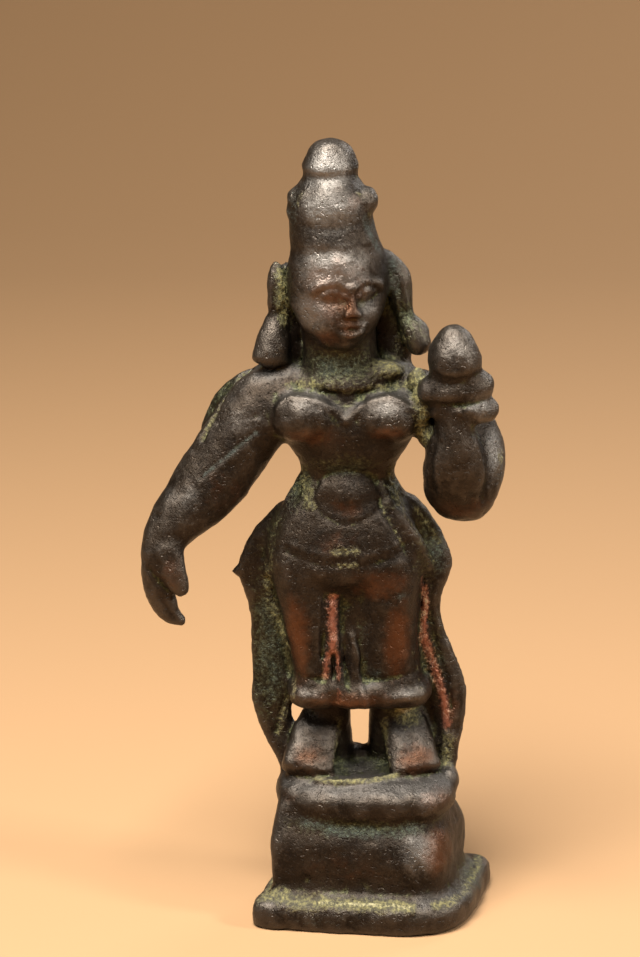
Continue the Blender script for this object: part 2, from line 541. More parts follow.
# %% Soften the skin
EVEN_ROUNDS, FILLING_ROUNDS = 4, 12
sharp = points.copy()
points = soften(points, EVEN_ROUNDS, hollow=0.6, height=0.6)
points = soften(points, FILLING_ROUNDS, hollow=0.85, height=0.1)
print("largest fill", round(float(np.linalg.norm(points - sharp, axis=1).max()), 2), "mm")

# %% [markdown]
# ## Carving
# Lines are cut and ridges raised with one tool: a stroke. Its path is drawn in the front view and dropped on the
# skin from the front or the back, as a knife would follow it, and each vertex moves along its normal by a bell of
# its distance from the path. A press is the same bell round a single point.

# %% Stroke and press
def on_skin(path_xz, facing=-1, reach=0.45):
    """Drop front-view points (x, z) onto the skin: the outermost point towards -y (facing -1) or +y (facing 1)
    among the vertices within reach of each."""
    curve, _ = smooth_path(path_xz, 12)
    low, high = curve.min(0) - reach, curve.max(0) + reach
    box = np.flatnonzero(((points[:, [0, 2]] > low) & (points[:, [0, 2]] < high)).all(1))
    gap = np.hypot(points[box, 0] - curve[:, :1], points[box, 2] - curve[:, 1:])
    depth = np.where(gap < reach, points[box, 1] * facing, -np.inf).max(1)
    ok = np.isfinite(depth)
    return np.stack([curve[ok, 0], depth[ok] * facing, curve[ok, 1]], -1)


def near(path, width):
    """A bell exp(-(distance to path / width)^2) for every vertex, zero beyond three widths."""
    bell = np.zeros(len(points))
    low, high = path.min(0) - 3 * width, path.max(0) + 3 * width
    box = np.flatnonzero(((points > low) & (points < high)).all(1))
    if len(box):
        gap = np.min([((points[box] - q) ** 2).sum(1) for q in path], axis=0)
        bell[box] = np.exp(-gap / width**2)
    return bell


def trace(path, facing=-1):
    """A path of (x, y, z) points as a curve in space, or one of (x, z) points dropped on the skin."""
    return smooth_path(path, 10)[0] if len(path[0]) == 3 else on_skin(path, facing)


def stroke(path, width, rise, facing=-1):
    """Raise (or with a negative rise, cut) the skin along a path."""
    return near(trace(path, facing), width) * rise


def press(centre, width, rise):
    """Raise or dent the skin round one point."""
    return near(np.atleast_2d(centre).astype(float), width) * rise


# %% Paths that are first cut and later stained
HIP_FOLD_OUTER = [(1.9, 58.4), (4.2, 55.2), (6.4, 51.6), (7.9, 48.2)]
HIP_FOLD_INNER = [(0.4, 57.2), (1.8, 54.6), (3.6, 51.2), (5.2, 48.2)]
HIP_FOLD_SHORT = [(3.6, 57.8), (6.2, 54.2), (8.4, 50.4)]
RIGHT_HIP_FOLD = [(-9.6, 60.0), (-11.9, 56.0), (-13.6, 51.6), (-14.6, 47.4)]
ARM_CREASE = [(-22.7, 60.5), (-20.7, 62.2), (-18.1, 64.3), (-15.4, 66.5)]
BACK_GIRDLE = [(-12.6, 53.2), (-8.0, 52.2), (-3.8, 51.8), (0.6, 52.2), (5.2, 53.2)]
SCARF_GAP = [(-16.4, 5.0, 73.4), (-18.4, 3.2, 71.4), (-20.1, 1.6, 69.3), (-21.4, 0.8, 66.9), (-22.3, 0.2, 64.9)]
print("fold over the right hip", len(RIGHT_HIP_FOLD), "points")

# %% Cuts on the bodice, the belly and the girdle, as path, width and rise
cuts = [
    # bodice rim, and the hollow above it
    ([(-13.0, 70.0), (-11.7, 71.3), (-9.8, 71.6), (-7.2, 70.9), (-5.3, 69.7), (-4.0, 68.3)], 0.55, 0.38),
    ([(-4.0, 68.3), (-2.7, 69.3), (-1.5, 70.6), (1.1, 71.5), (3.0, 71.2), (5.0, 69.6)], 0.55, 0.38),
    ([(-10.5, 72.5), (-7.0, 72.1), (-4.0, 70.3), (-1.0, 72.0), (2.5, 72.4)], 0.8, -0.3),
    # edge of the belly boss
    ([(-7.6, 59.6), (-8.2, 57.8), (-7.2, 55.8), (-5.2, 54.7), (-3.4, 54.4), (-1.4, 54.9), (0.4, 56.2), (0.9, 58.0),
      (0.2, 59.8)], 0.4, -0.22),
    ([(-7.6, 59.8), (-5.6, 60.9), (-3.5, 61.2), (-1.4, 60.9), (0.2, 59.9)], 0.5, -0.3),
    # girdle
    ([(-11.6, 51.6), (-8.0, 50.6), (-4.0, 50.2), (0.0, 50.6), (3.4, 51.8)], 0.4, 0.16),
    ([(-11.8, 50.4), (-8.0, 49.2), (-4.0, 48.8), (0.0, 49.2), (3.8, 50.4)], 0.35, -0.16),
]
print("cuts", len(cuts))

# %% Cuts on the skirt and the roll
cuts += [
    # edge of the right thigh, pleats and the lens-shaped pit
    ([(-7.2, 44.0), (-7.5, 38.3), (-7.2, 33.4)], 0.35, 0.22),
    ([(-6.7, 44.0), (-6.8, 38.3), (-6.9, 33.6)], 0.3, -0.12),
    ([(-4.3, 44.2), (-4.2, 38.3), (-4.1, 33.0)], 0.4, -0.3),
    ([(-5.55, 36.0), (-5.5, 35.0), (-5.5, 33.4)], 0.5, -1.1),
    ([(-3.0, 38.6), (-2.3, 35.8), (-1.9, 33.0), (-1.5, 30.8), (-1.2, 29.2)], 0.38, 0.45),
    # lip of the roll between the feet, and the floor behind it
    ([(-7.4, -3.6, 19.3), (-4.0, -4.1, 19.2), (0.0, -3.7, 19.3), (2.9, -2.7, 19.5)], 0.5, 0.45),
    ([(-4.0, -0.6, 19.6), (-2.2, -0.2, 19.6), (0.0, -0.6, 19.6)], 1.8, -0.6),
    ([(-3.6, 33.4), (-3.4, 30.0)], 0.4, -0.2),
    # top edge of the hem
    ([(-10.4, 33.0), (-7.6, 32.9), (-4.4, 32.4)], 0.5, -0.3),
    ([(-0.8, 32.6), (2.2, 33.0), (6.0, 33.6)], 0.5, -0.32),
]
print("cuts", len(cuts))

# %% Cuts on the hips and the sashes
cuts += [
    # folds over the hips
    (HIP_FOLD_OUTER, 0.4, -0.3),
    (HIP_FOLD_INNER, 0.45, -0.25),
    (HIP_FOLD_SHORT, 0.4, -0.25),
    (RIGHT_HIP_FOLD, 0.35, -0.25),
    ([(-7.7, 59.4), (-9.9, 55.4), (-11.8, 50.6)], 0.5, -0.15),
    # layers of the hanging sashes
    ([(-15.2, 47.0), (-15.4, 42.0), (-15.5, 36.0), (-15.6, 30.0)], 0.4, -0.16),
    ([(-12.6, 42.0), (-12.4, 37.0), (-11.4, 31.6), (-12.2, 27.0), (-13.2, 23.8)], 0.32, -0.3),
    ([(-14.3, 40.0), (-13.6, 34.0), (-14.2, 28.0)], 0.3, -0.14),
    ([(7.5, 45.0), (7.4, 40.0), (8.2, 36.0), (9.5, 32.0), (10.4, 27.0)], 0.32, -0.3),
    ([(6.6, 45.0), (6.5, 40.0), (7.2, 35.4), (8.6, 31.2), (9.5, 27.0), (9.8, 23.6)], 0.35, 0.22),
    ([(11.0, 33.0), (11.6, 28.0), (11.2, 24.0)], 0.35, -0.14),
]
print("cuts", len(cuts))

# %% Cuts on the arms, the ears, the bud and the crown
cuts += [
    # crease across the upper arm and the gap before the scarf end
    (ARM_CREASE, 0.35, -0.2),
    ([(-23.0, 60.0), (-20.9, 61.6), (-18.3, 63.7), (-15.6, 65.9)], 0.5, 0.14),
    (SCARF_GAP, 0.38, -0.75),
    # thumb against fingers
    ([(-29.6, 48.6), (-28.6, 47.2), (-27.2, 45.6), (-25.9, 44.6)], 0.35, -0.45),
    ([(-28.2, 45.4), (-27.2, 43.0), (-26.0, 41.2)], 0.3, -0.15),
    # folded arm
    ([(10.4, 70.3), (11.7, 68.5), (12.9, 66.4)], 0.35, 0.25),
    ([(11.2, 69.6), (12.4, 67.8), (13.5, 66.0), (14.1, 63.6), (14.5, 60.4), (14.0, 57.8)], 0.65, -0.4),
    ([(6.8, 68.6), (7.2, 66.2), (6.8, 62.6), (7.2, 59.0)], 0.55, -0.25),
    ([(8.2, 70.9), (10.6, 71.0), (13.8, 71.5)], 0.3, -0.3),
    # shell of the ear
    ([(1.7, 87.8), (2.9, 84.6), (3.4, 81.6)], 0.35, -0.25),
    ([(-13.1, 87.0), (-13.2, 84.0), (-13.1, 81.4)], 0.35, -0.2),
    # foot of the bud
    ([(6.9, 75.0), (8.6, 74.6), (11.6, 74.6), (13.4, 75.2)], 0.35, -0.25),
    # crown: rim, and the temple's edge
    ([(-0.9, 91.6), (0.2, 90.2), (1.0, 88.4)], 0.35, 0.2),
    ([(-10.0, 93.6), (-7.4, 93.2), (-4.6, 93.3), (-2.2, 93.6)], 0.5, -0.12),
]
print("cuts", len(cuts))

# %% Cuts on the back
back_cuts = [
    # strands of the knot of hair, and its ribbon
    *[([(-4.6 + 0.5 * k, 84.0), (-4.6 + 1.3 * k, 79.6), (-4.6 + 0.9 * k, 75.6)], 0.3, -0.2) for k in range(-3, 4)],
    ([(-9.6, 75.6), (-7.0, 74.6), (-4.6, 74.3), (-2.2, 74.6), (0.6, 75.6)], 0.4, -0.25),
    # crown
    ([(-10.2, 92.8), (-5.6, 92.5), (-1.0, 92.8)], 0.4, -0.16),
    # back, girdle and hem
    ([(-3.7, 71.0), (-3.6, 66.0), (-3.5, 61.0)], 0.7, -0.35),
    ([(-12.4, 54.6), (-8.0, 53.6), (-3.8, 53.2), (0.6, 53.6), (5.0, 54.6)], 0.4, 0.25),
    (BACK_GIRDLE, 0.35, -0.22),
    ([(-3.0, 47.0), (-2.6, 40.0), (-2.2, 33.0)], 0.5, -0.4),
    ([(-6.4, 46.0), (-6.0, 39.0), (-5.6, 33.0)], 0.4, -0.2),
    ([(1.2, 46.0), (1.0, 39.0), (1.0, 33.0)], 0.4, -0.2),
    ([(-9.8, 32.6), (-6.0, 32.0), (-2.2, 31.8), (2.0, 32.0), (6.4, 32.6)], 0.4, -0.22),
    ([(-15.0, 44.0), (-14.6, 36.0), (-14.4, 28.0)], 0.35, -0.16),
    ([(8.6, 44.0), (9.4, 36.0), (10.4, 28.0)], 0.35, -0.16),
]
print("cuts on the back", len(back_cuts))

# %% Cut and raise them all
carved = sum(stroke(*cut) for cut in cuts) + sum(stroke(*cut, facing=1) for cut in back_cuts)
points = points + normals_of(points) * carved[:, None]
print("carved from", round(float(carved.min()), 2), "to", round(float(carved.max()), 2), "mm")

# %% [markdown]
# ## Face
# The usual proportions divide the face from hairline to chin in three equal parts: brow, nose and chin. It is five
# eyes wide, and the mouth lies a third of the way from the nose to the chin. The features are pressed softly, as
# they look after long wear.

# %% Proportions of the face
HAIRLINE, CHIN, FACE_WIDTH = 90.4, 77.6, 12.9
THIRD = (HAIRLINE - CHIN) / 3
BROW, NOSE_FOOT = HAIRLINE - THIRD, HAIRLINE - 2 * THIRD
EYE_WIDTH = FACE_WIDTH / 5
EYE_Z, MOUTH_Z = BROW - 0.27 * THIRD, NOSE_FOOT - THIRD / 3
FEATURE_DEPTH = 1.5
print("eye", round(EYE_WIDTH, 2), "mm wide, mouth at", round(MOUTH_Z, 2), "mm")


# %% Strokes in face coordinates
def on_face(x, z, reach=0.4):
    """The front of the head at face coordinates x and z: the foremost point of the skin within reach of them."""
    c, s = np.cos(FACE_TURN), np.sin(FACE_TURN)
    away = points[:, :2] - FACE_AXIS
    side, depth = away @ [c, s], away @ [-s, c]
    box = np.flatnonzero((np.hypot(side - x, points[:, 2] - z) < reach) & (depth < 0))
    return points[box[np.argmin(depth[box])]]


def face_stroke(path, width, rise):
    """A stroke along face coordinates."""
    curve, _ = smooth_path(path, 8)
    return near(np.array([on_face(x, z) for x, z in curve]), width) * rise


# %% Eyes, brows, nostrils and cheeks
features = 0
for side in (-1, 1):
    eye = side * EYE_WIDTH
    lid = [(eye - 1.25, EYE_Z - 0.05), (eye - 0.6, EYE_Z + 0.42), (eye, EYE_Z + 0.55), (eye + 0.6, EYE_Z + 0.42),
           (eye + 1.25, EYE_Z - 0.05)]
    under = [(x, 2 * EYE_Z - z - 0.1) for x, z in lid]
    # socket, then the ball of the eye in it
    features = features + press(on_face(eye, EYE_Z + 0.1), 1.8, -0.85)
    features = features + press(on_face(eye, EYE_Z), 0.9, 0.6)
    features = features + face_stroke(lid, 0.32, 0.26) + face_stroke(under, 0.3, 0.16)
    brow = [(side * 0.9, BROW - 0.2), (side * 2.2, BROW + 0.45), (side * 3.9, BROW + 0.15), (side * 4.7, BROW - 0.5)]
    features = features + face_stroke(brow, 0.5, 0.36)
    # wing of the nose and cheek
    features = features + press(on_face(side * 1.15, NOSE_FOOT + 0.5), 0.6, 0.3)
    features = features + press(on_face(side * 3.3, NOSE_FOOT + 0.3), 1.6, 0.25)
print("eyes from", round(float(features.min()), 2), "to", round(float(features.max()), 2), "mm")

# %% Mouth and chin
upper_lip = [(-1.9, MOUTH_Z + 0.05), (-0.9, MOUTH_Z + 0.5), (0, MOUTH_Z + 0.4), (0.9, MOUTH_Z + 0.5),
             (1.9, MOUTH_Z + 0.05)]
lower_lip = [(-1.4, MOUTH_Z - 0.5), (0, MOUTH_Z - 0.8), (1.4, MOUTH_Z - 0.5)]
parting = [(-2.1, MOUTH_Z + 0.05), (-1.0, MOUTH_Z - 0.08), (0, MOUTH_Z - 0.12), (1.0, MOUTH_Z - 0.08),
           (2.1, MOUTH_Z + 0.05)]
features = features + face_stroke(upper_lip, 0.4, 0.34) + face_stroke(lower_lip, 0.5, 0.4)
features = features + face_stroke(parting, 0.26, -0.3) + press(on_face(0, MOUTH_Z - 1.5), 0.8, -0.25)
features = features + press(on_face(0, CHIN + 1.0), 1.2, 0.35)
points = points + normals_of(points) * (FEATURE_DEPTH * features)[:, None]
print("features from", round(float(features.min()), 2), "to", round(float(features.max()), 2), "mm")

# %% [markdown]
# ## Unevenness of the casting
# No part of a wax model is true. A few slow waves in random directions make the surfaces wander by a tenth of a
# millimetre, quicker ones roughen them, and little pits are left where air or crust sat in the mould.

# %% Waves
rng = np.random.default_rng(31)


def waves(length, amount, number=14):
    """The mean of number sine waves of about the given length in random directions, scaled to amount."""
    direction = rng.normal(size=(number, 3))
    direction /= np.linalg.norm(direction, axis=1, keepdims=True)
    turns = 2 * np.pi / (length * rng.uniform(0.7, 1.4, number))
    phase = rng.uniform(0, 2 * np.pi, number)
    return amount * np.sin(points @ (direction * turns[:, None]).T + phase).sum(1) / np.sqrt(number / 2)


roughness = waves(9.0, 0.07) + waves(3.2, 0.045) + waves(1.3, 0.02)
print("waves from", round(float(roughness.min()), 2), "to", round(float(roughness.max()), 2), "mm")

# %% Pits
PITS, PIT_DEPTH_SHARE = 150, 0.4
pit_places = points[rng.choice(len(points), PITS, replace=False)]
for pit, width in zip(pit_places, rng.uniform(0.25, 0.5, PITS)):
    roughness = roughness + press(pit, width, -PIT_DEPTH_SHARE * width)
points = points + normals_of(points) * roughness[:, None]
points = soften(points, 1, 0.5, 0.5)
print("roughness from", round(float(roughness.min()), 2), "to", round(float(roughness.max()), 2), "mm")

# %% [markdown]
# ## Where the patina changes
# Bronze darkens where it is left alone, wears to brown copper where hands touch it, and gathers olive dirt and
# green verdigris in its hollows. The hollows are read from the shape: a copy of the skin is smoothed, and wherever
# it comes out in front of the real one there is a hollow. The stains that no rule gives are painted along paths.

# %% Hollows and upward faces
def hollows(rounds):
    """How far a copy of the skin smoothed by so many rounds lies outside the skin, in millimetres."""
    n = normals_of(points)
    p = points
    for _ in range(rounds):
        p = around_mean(p)
    return np.einsum("ij,ij->i", p - points, n)


def unit(values, low, high):
    """Values mapped from low..high to 0..1 and clipped."""
    return np.clip((values - low) / (high - low), 0, 1)


FINE_ROUNDS, BROAD_ROUNDS = 14, 110
fine, broad = hollows(FINE_ROUNDS), hollows(BROAD_ROUNDS)
layers = {
    "crevice": np.maximum(unit(fine, 0.03, 0.20), 0.9 * unit(broad, 0.15, 1.2)),
    "worn": unit(-fine, 0.0, 0.14) * 0.5 + unit(-broad, 0.0, 0.8) * 0.5,
    "upward": unit(normals_of(points)[:, 2], 0.15, 0.95),
}
print({name: round(float(values.mean()), 3) for name, values in layers.items()})


# %% Zone and streak
def zone(centre, radii, strength):
    """An ellipsoid of stain: strength * exp(-q), with q the squared distance in units of the radii."""
    return strength * np.exp(-(((points - centre) / radii) ** 2).sum(1))


def streak(path, width, strength, facing=-1):
    """A band of stain along a path."""
    return strength * near(trace(path, facing), width)


# %% Dirt in the hollows, little of it on the handled face
face_zone = zone((-6.0, -4.5, 84.5), (6.5, 4.5, 6.5), 1.0)
layers["crevice"] = np.max([
    layers["crevice"] * (1 - 0.8 * face_zone),
    zone((-4.5, -1.5, 75.4), (7.5, 4.5, 3.2), 0.75), zone((-14.2, 2.5, 36.0), (3.4, 2.5, 14.0), 0.7),
    zone((-9.6, 0.5, 59.0), (2.2, 3.0, 4.0), 0.8), zone((2.8, 0.5, 59.0), (2.2, 3.0, 4.0), 0.8),
    zone((6.4, 1.6, 51.0), (3.0, 3.0, 6.0), 0.7), zone((-12.4, 1.6, 51.0), (2.4, 3.0, 6.0), 0.7),
    zone((-3.8, -2.0, 62.0), (6.0, 3.0, 1.8), 0.6), zone((-2.0, -6.5, 13.8), (11.0, 3.0, 1.4), 0.7),
    zone((13.0, 0.0, 5.0), (2.5, 9.0, 2.2), 0.7), zone((-19.5, 4.6, 69.0), (4.0, 2.5, 4.5), 0.8),
    zone((3.2, 2.0, 80.0), (3.5, 3.0, 6.0), 0.7), zone((5.8, -1.0, 69.5), (2.0, 2.5, 6.0), 0.9),
    zone((-1.5, 0.5, 22.0), (3.4, 3.0, 4.0), 0.7), zone((4.8, 1.0, 27.2), (3.2, 2.0, 1.6), 0.9),
    zone((8.0, 3.0, 33.0), (1.6, 2.0, 10.0), 0.6), zone((-12.0, 2.0, 84.0), (1.2, 2.0, 5.0), 0.9),
], axis=0)
print("dirt", round(float(layers["crevice"].mean()), 3))

# %% Worn and polished heights
layers["worn"] = np.maximum(layers["worn"], zone((-6.4, -4.0, 87.5), (5.0, 4.0, 4.2), 1.3))
layers["polished"] = np.max([
    zone((-6.5, -3.0, 101.0), (5.0, 5.0, 4.0), 1.0), zone((-6.0, -3.5, 95.6), (6.5, 4.0, 3.6), 0.9),
    zone((-6.4, -4.0, 88.4), (6.6, 4.0, 3.8), 0.95), zone((-1.2, -4.0, 83.6), (1.8, 3.0, 4.5), 0.7),
    zone((-8.4, -3.0, 82.6), (4.2, 3.4, 4.4), 0.85), zone((-8.6, -3.0, 70.4), (4.0, 3.0, 1.8), 0.6),
    zone((1.6, -3.6, 70.0), (3.8, 3.0, 2.0), 0.65), zone((15.5, 0.0, 63.0), (1.8, 3.5, 5.0), 0.9),
    zone((13.0, -4.0, 70.5), (2.5, 3.0, 3.5), 0.8), zone((10.5, -5.0, 77.5), (3.0, 3.0, 3.5), 0.6),
    zone((-16.5, -0.5, 67.5), (4.0, 4.0, 3.5), 0.5), zone((-24.0, -2.0, 57.0), (2.5, 2.5, 5.0), 0.5),
    zone((-8.6, -2.0, 31.0), (2.4, 2.5, 1.6), 0.5), zone((4.6, -2.4, 31.0), (3.5, 2.5, 1.6), 0.6),
    zone((6.5, -8.6, 11.0), (3.6, 3.0, 4.0), 0.8), zone((7.6, -6.0, 17.6), (3.0, 3.0, 1.8), 0.6),
    zone((-4.6, 9.6, 79.5), (4.5, 2.5, 4.0), 0.8), zone((-5.0, 7.5, 96.0), (5.0, 3.0, 5.0), 0.6),
], axis=0)
print("polished", round(float(layers["polished"].mean()), 3))

# %% Copper red where hands touch
layers["copper"] = np.max([
    zone((-6.0, -4.4, 85.4), (6.0, 4.0, 6.2), 0.66), zone((-3.4, -4.6, 82.4), (1.5, 2.0, 4.0), 0.8),
    zone((-6.5, -3.5, 79.3), (3.5, 3.0, 1.6), 0.7), zone((-2.6, -2.5, 96.4), (2.4, 2.0, 2.2), 0.5),
    zone((-10.4, -1.5, 38.5), (2.2, 3.0, 8.0), 1.0), zone((3.0, -2.2, 38.5), (2.2, 2.4, 7.0), 0.9),
    zone((0.5, -2.5, 46.0), (5.0, 3.0, 2.6), 0.75), zone((-5.0, -3.0, 52.0), (4.5, 3.0, 3.5), 0.4),
    zone((-3.8, -3.0, 56.6), (3.6, 3.0, 2.2), 0.5), zone((-8.0, -3.6, 66.2), (4.5, 3.0, 2.0), 0.65),
    zone((1.6, -4.4, 66.8), (3.6, 2.0, 1.6), 0.7), zone((-19.5, -2.0, 58.5), (5.0, 3.0, 4.5), 0.4),
    zone((-26.2, -4.0, 48.0), (1.8, 2.0, 3.0), 0.6), zone((11.0, -2.0, 56.5), (5.0, 3.5, 2.0), 0.6),
    zone((-3.0, -3.0, 29.8), (8.5, 2.4, 2.0), 0.7), zone((9.0, -7.0, 10.5), (3.6, 6.0, 4.0), 0.8),
    zone((-4.0, -8.0, 8.5), (9.0, 2.0, 3.0), 0.4), zone((8.0, -5.0, 17.3), (3.0, 3.5, 1.6), 0.7),
    zone((-11.0, -3.0, 17.0), (2.0, 3.0, 1.6), 0.5), zone((5.6, -2.0, 21.5), (3.0, 2.6, 2.8), 0.75),
    zone((-8.6, -2.0, 21.5), (3.0, 2.6, 2.6), 0.65), zone((10.5, 2.0, 27.0), (1.6, 2.0, 4.0), 0.6),
    zone((-9.0, 7.0, 47.5), (3.2, 4.0, 5.0), 0.8), zone((2.4, 7.5, 47.5), (3.2, 4.0, 5.0), 0.8),
    zone((-13.5, 6.0, 67.0), (3.5, 3.0, 3.5), 0.5), zone((8.5, 6.0, 66.0), (3.5, 3.0, 4.0), 0.6),
    zone((2.0, 9.0, 9.0), (6.0, 3.0, 3.6), 0.7),
], axis=0)
print("copper", round(float(layers["copper"].mean()), 3))

# %% Rose-coloured streaks of bare copper
layers["pink"] = np.max([
    streak([(-5.5, 44.0), (-5.5, 40.0), (-5.6, 36.6)], 0.95, 0.9), streak([(-6.2, 36.4), (-6.6, 33.2)], 0.6, 0.9),
    streak([(-4.8, 36.4), (-4.5, 33.2)], 0.6, 0.9), streak([(-4.7, 31.6), (-4.7, 29.6)], 0.5, 0.6),
    streak([(6.4, 45.8), (6.7, 42.0), (6.6, 39.8), (6.5, 37.4)], 0.6, 0.95),
    streak([(6.5, 37.4), (7.4, 34.6), (8.5, 31.2), (9.2, 28.4), (9.7, 25.0)], 0.85, 0.95),
], axis=0)
print("rose", round(float(layers["pink"].mean()), 3))

# %% Green verdigris
layers["green"] = np.max([
    streak([(-9.0, -5.2, 14.0), (-4.0, -6.8, 13.4), (2.0, -7.6, 13.5), (6.5, -7.2, 14.2)], 1.5, 1.0),
    streak([(-1.6, -0.8, 94.2), (-0.8, -0.8, 92.5), (0.6, 0.0, 90.0)], 1.4, 1.0),
    streak(ARM_CREASE, 0.5, 1.0),
    zone((3.4, -2.8, 44.6), (1.2, 1.5, 1.0), 1.0), zone((2.2, 2.0, 86.0), (2.0, 3.0, 5.0), 0.95),
    zone((-5.0, -1.5, 75.0), (7.0, 4.0, 3.2), 0.85), zone((-1.4, -1.0, 38.5), (2.4, 2.0, 6.0), 0.65),
    zone((-3.5, -1.6, 61.6), (5.0, 2.0, 1.6), 0.9), zone((-14.0, 2.5, 36.0), (3.6, 2.5, 15.0), 0.9),
    zone((8.0, 2.5, 50.0), (3.6, 2.8, 8.0), 0.85), zone((14.5, 0.0, 3.4), (3.4, 9.0, 1.8), 0.85),
    zone((6.5, 3.0, 57.0), (5.0, 3.5, 3.5), 0.7), zone((-10.5, 1.0, 57.0), (2.4, 3.0, 5.0), 0.75),
    zone((16.0, 0.0, 61.0), (1.8, 3.0, 4.5), 0.8), zone((9.2, 2.6, 32.0), (2.6, 2.0, 9.0), 0.6),
    zone((-6.0, -10.0, 1.6), (10.0, 3.0, 1.6), 0.65), zone((3.8, 1.8, 80.0), (3.0, 3.0, 4.0), 0.7),
    zone((-13.0, 1.6, 81.0), (1.8, 2.4, 6.0), 0.6), zone((-20.5, 4.6, 68.0), (3.5, 2.5, 4.5), 0.7),
    zone((0.0, -2.0, 33.5), (2.6, 2.4, 1.5), 0.8), zone((-10.6, 0.5, 95.0), (1.8, 3.5, 6.0), 0.8),
    zone((-0.6, 1.0, 93.0), (1.6, 3.0, 6.0), 0.7), zone((-3.8, 6.5, 61.5), (5.5, 2.5, 3.0), 0.8),
    zone((-1.0, 8.0, 14.0), (11.0, 3.0, 2.2), 0.8), zone((-2.0, 7.0, 38.0), (3.4, 2.0, 8.0), 0.7),
    zone((-4.6, 8.0, 75.0), (6.0, 3.0, 2.5), 0.8),
], axis=0)
print("verdigris", round(float(layers["green"].mean()), 3))

# %% Olive and cream crust on the plinth and the feet
crust_stains = [
    # ledge of the slab: its left end, its front, and its two sides
    streak([(-14.6, -6.4, 4.1), (-11.0, -7.9, 4.1), (-8.0, -8.6, 4.1)], 1.7, 0.95),
    streak([(-8.0, -8.6, 4.1), (-2.0, -9.2, 4.0), (4.5, -10.0, 3.9)], 1.2, 1.15),
    streak([(-14.6, -6.0, 4.2), (-13.2, 0.0, 4.2), (-11.5, 6.0, 4.2)], 1.1, 0.9),
    streak([(8.0, -9.6, 4.0), (10.8, -7.6, 4.2), (12.6, -3.0, 4.3), (14.2, 3.5, 4.3), (14.4, 7.5, 4.2)], 0.9, 1.05),
    # lip of the roll, and the inner sides of the feet
    streak([(-7.4, -3.9, 19.5), (-4.0, -4.4, 19.4), (0.0, -4.0, 19.5), (3.0, -3.0, 19.7)], 0.65, 1.0),
    streak([(-10.6, -3.4, 19.7), (-8.6, -3.6, 19.7), (-6.6, -3.4, 19.7)], 0.6, 1.3),
    streak([(-5.4, -1.6, 20.8), (-4.9, 0.6, 23.5), (-4.6, 1.6, 25.6)], 0.9, 0.8),
    streak([(2.2, -1.6, 20.8), (1.6, 0.6, 23.5), (1.5, 1.6, 25.6)], 0.9, 0.9),
]
print("crust stains", len(crust_stains))

# %% Crust on the ankles, the skirt, the sashes and the hips
crust_stains += [
    # left ankle and the foot of the left sash
    zone((4.8, 0.8, 27.2), (3.0, 2.2, 1.6), 1.5), streak([(9.9, 1.8, 23.0), (9.6, 1.4, 19.6)], 1.5, 0.85),
    # girdle
    streak([(-5.2, 50.9), (-2.6, 51.0)], 0.8, 0.85), streak([(-4.6, 49.1), (-2.6, 49.1)], 0.6, 0.75),
    # edges of the legs and the pleats
    streak([(6.0, 46.5), (6.6, 43.0), (6.3, 37.0)], 0.5, 0.7),
    streak([(5.2, 36.4), (5.9, 33.6), (6.2, 31.6)], 0.5, 0.8), streak([(-4.4, 43.8), (-4.3, 38.0)], 0.4, 0.6),
    # inner edge of the right sash
    streak([(-13.8, 50.0), (-14.2, 46.0), (-13.8, 42.5), (-12.5, 38.5), (-11.2, 34.5), (-10.9, 31.0)], 0.9, 0.8),
    streak([(-10.9, 31.0), (-12.0, 27.0), (-12.8, 24.0)], 0.8, 0.85),
    # folds over the hips
    streak(HIP_FOLD_OUTER, 0.6, 0.75),
    streak(HIP_FOLD_INNER, 0.5, 0.6),
    streak(HIP_FOLD_SHORT, 0.6, 0.75),
    streak(RIGHT_HIP_FOLD, 0.55, 0.7),
]
print("crust stains", len(crust_stains))

# %% Crust on the waist, the chest, the arms and the head
crust_stains += [
    # both sides of the waist, and under the right arm
    streak([(-9.3, 1.0, 61.0), (-9.2, -0.4, 58.6), (-8.4, -1.6, 56.6)], 1.2, 0.8),
    streak([(2.0, 0.6, 61.0), (2.6, 0.2, 58.0), (3.4, 0.0, 55.6)], 1.2, 0.75),
    streak([(-10.4, -1.4, 70.6), (-11.4, -1.2, 68.0), (-10.6, -0.8, 65.0)], 0.8, 0.6),
    # between the breast and the raised hand, and on that arm
    streak([(4.6, 0.6, 75.4), (5.2, -0.8, 73.5), (5.6, -2.4, 71.0), (6.0, -2.4, 68.0), (6.2, -1.6, 65.6)], 1.5, 1.05),
    zone((2.0, -0.4, 74.8), (3.6, 3.0, 1.8), 1.0), zone((13.6, -3.6, 66.6), (1.0, 1.2, 0.9), 1.0),
    zone((16.2, -0.2, 62.6), (0.8, 1.5, 1.3), 0.9), zone((3.6, 2.4, 78.0), (1.4, 2.5, 3.0), 0.7),
    # right ear, scarf, and the edge of the bodice
    streak([(-12.0, 1.8, 87.6), (-12.0, 2.0, 84.0), (-11.8, 2.2, 80.5)], 1.1, 1.0),
    streak(SCARF_GAP, 0.7, 0.9), zone((-4.0, -2.0, 73.2), (8.0, 3.5, 1.8), 0.48),
    streak([(-11.4, 72.4), (-8.0, 72.8), (-4.0, 71.8), (0.0, 72.4), (4.0, 72.4)], 0.8, 0.8),
    # sides of the crown
    streak([(-9.6, -1.4, 99.0), (-9.8, -1.0, 96.0)], 0.6, 0.6),
    streak([(-2.8, -1.4, 98.6), (-1.0, -0.6, 94.6)], 0.6, 0.6),
]
print("crust stains", len(crust_stains))

